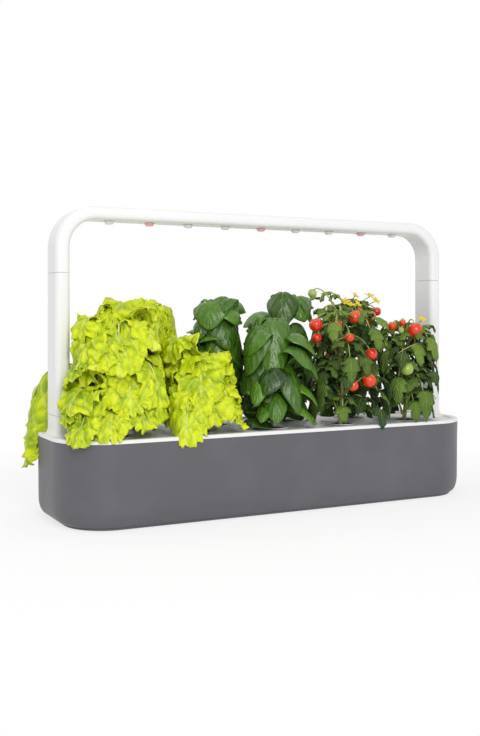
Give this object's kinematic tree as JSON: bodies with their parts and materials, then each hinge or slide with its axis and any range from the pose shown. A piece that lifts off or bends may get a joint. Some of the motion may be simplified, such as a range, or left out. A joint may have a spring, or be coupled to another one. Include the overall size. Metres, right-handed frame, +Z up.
{
  "type": "countertop hydroponic garden",
  "caption": "Long water tank with a white lid, lift-out plant cups with herbs, lettuce and tomatoes, and a plug-together lamp arch on two posts.",
  "frame": {"origin": "on the surface it stands on, under the middle of the tank", "axes": "+X along the tank to the inlet leg, +Y to the back, +Z up"},
  "size_m": [0.6334, 0.1901, 0.396],
  "materials": {
    "tank_grey": "satin moulded, slightly violet grey",
    "pad_rubber": "matte",
    "lid_white": "satin moulded white",
    "leg_white": "satin moulded white",
    "cover_white": "matte white",
    "cup_white": "matte white",
    "growing_medium": "damp crumbly peat, foam-light",
    "float_white": "matte white",
    "inlet_black": "matte black",
    "contact_brass": "plated",
    "board_aluminium": "brushed",
    "circuit_green": "solder resist",
    "lens_clear": "polished, clear",
    "lens_red": "polished, pinkish red",
    "lettuce_leaf": "leaf, frilly and yellow green",
    "basil_leaf": "leaf, glossy and blistered",
    "tomato_leaf": "leaf, matte and hairy; fruit smooth and glossy"
  },
  "bodies": {
    "tank": {"tank": "tank_grey", "foot_front_left": "pad_rubber", "foot_front_right": "pad_rubber", "foot_back_left": "pad_rubber", "foot_back_right": "pad_rubber"},
    "lid": {"lid": "lid_white", "power_inlet": "inlet_black", "base_contact": "contact_brass"},
    "float": {"float_gauge": "float_white"},
    "post_left": {"post_left": "leg_white"},
    "post_right": {"post_right": "leg_white", "post_contact": "contact_brass"},
    "arch": {"arch": "leg_white", "light_cover": "cover_white", "led_board": "board_aluminium", "timer_board": "circuit_green", "arch_contact": "contact_brass", "lens_1": "lens_clear", "lens_2": "lens_red", "lens_3": "lens_clear", "lens_4": "lens_clear", "lens_5": "lens_red", "lens_6": "lens_clear", "lens_7": "lens_clear", "lens_8": "lens_red", "lens_9": "lens_clear"},
    "pod_1": {"cup_1": "cup_white", "soil_1": "growing_medium", "lettuce_1": "lettuce_leaf"},
    "pod_2": {"cup_2": "cup_white", "soil_2": "growing_medium", "lettuce_2": "lettuce_leaf"},
    "pod_3": {"cup_3": "cup_white", "soil_3": "growing_medium", "lettuce_3": "lettuce_leaf"},
    "pod_4": {"cup_4": "cup_white", "soil_4": "growing_medium", "basil_1": "basil_leaf"},
    "pod_5": {"cup_5": "cup_white", "soil_5": "growing_medium", "basil_2": "basil_leaf"},
    "pod_6": {"cup_6": "cup_white", "soil_6": "growing_medium", "basil_3": "basil_leaf"},
    "pod_7": {"cup_7": "cup_white", "soil_7": "growing_medium", "tomato_1": "tomato_leaf"},
    "pod_8": {"cup_8": "cup_white", "soil_8": "growing_medium", "tomato_2": "tomato_leaf"},
    "pod_9": {"cup_9": "cup_white", "soil_9": "growing_medium", "tomato_3": "tomato_leaf"}
  },
  "joints": [
    {"name": "lid_lift", "type": "slide", "parent": "tank", "child": "lid", "axis": [0, 0, 1], "range_m": [0, 0.12]},
    {"name": "float_rise", "type": "slide", "parent": "lid", "child": "float", "axis": [0, 0, 1], "range_m": [0, 0.03]},
    {"name": "post_left_lift", "type": "slide", "parent": "lid", "child": "post_left", "axis": [0, 0, 1], "range_m": [0, 0.03]},
    {"name": "post_right_lift", "type": "slide", "parent": "lid", "child": "post_right", "axis": [0, 0, 1], "range_m": [0, 0.03]},
    {"name": "arch_lift", "type": "slide", "parent": "post_left", "child": "arch", "axis": [0, 0, 1], "range_m": [0, 0.03]},
    {"name": "pod_1_lift", "type": "slide", "parent": "lid", "child": "pod_1", "axis": [0, 0, 1], "range_m": [0, 0.06]},
    {"name": "pod_2_lift", "type": "slide", "parent": "lid", "child": "pod_2", "axis": [0, 0, 1], "range_m": [0, 0.06]},
    {"name": "pod_3_lift", "type": "slide", "parent": "lid", "child": "pod_3", "axis": [0, 0, 1], "range_m": [0, 0.06]},
    {"name": "pod_4_lift", "type": "slide", "parent": "lid", "child": "pod_4", "axis": [0, 0, 1], "range_m": [0, 0.06]},
    {"name": "pod_5_lift", "type": "slide", "parent": "lid", "child": "pod_5", "axis": [0, 0, 1], "range_m": [0, 0.06]},
    {"name": "pod_6_lift", "type": "slide", "parent": "lid", "child": "pod_6", "axis": [0, 0, 1], "range_m": [0, 0.06]},
    {"name": "pod_7_lift", "type": "slide", "parent": "lid", "child": "pod_7", "axis": [0, 0, 1], "range_m": [0, 0.06]},
    {"name": "pod_8_lift", "type": "slide", "parent": "lid", "child": "pod_8", "axis": [0, 0, 1], "range_m": [0, 0.06]},
    {"name": "pod_9_lift", "type": "slide", "parent": "lid", "child": "pod_9", "axis": [0, 0, 1], "range_m": [0, 0.06]}
  ],
  "couplings": [
    {"joint": "post_right_lift", "follows": "post_left_lift", "ratio": 1}
  ]
}
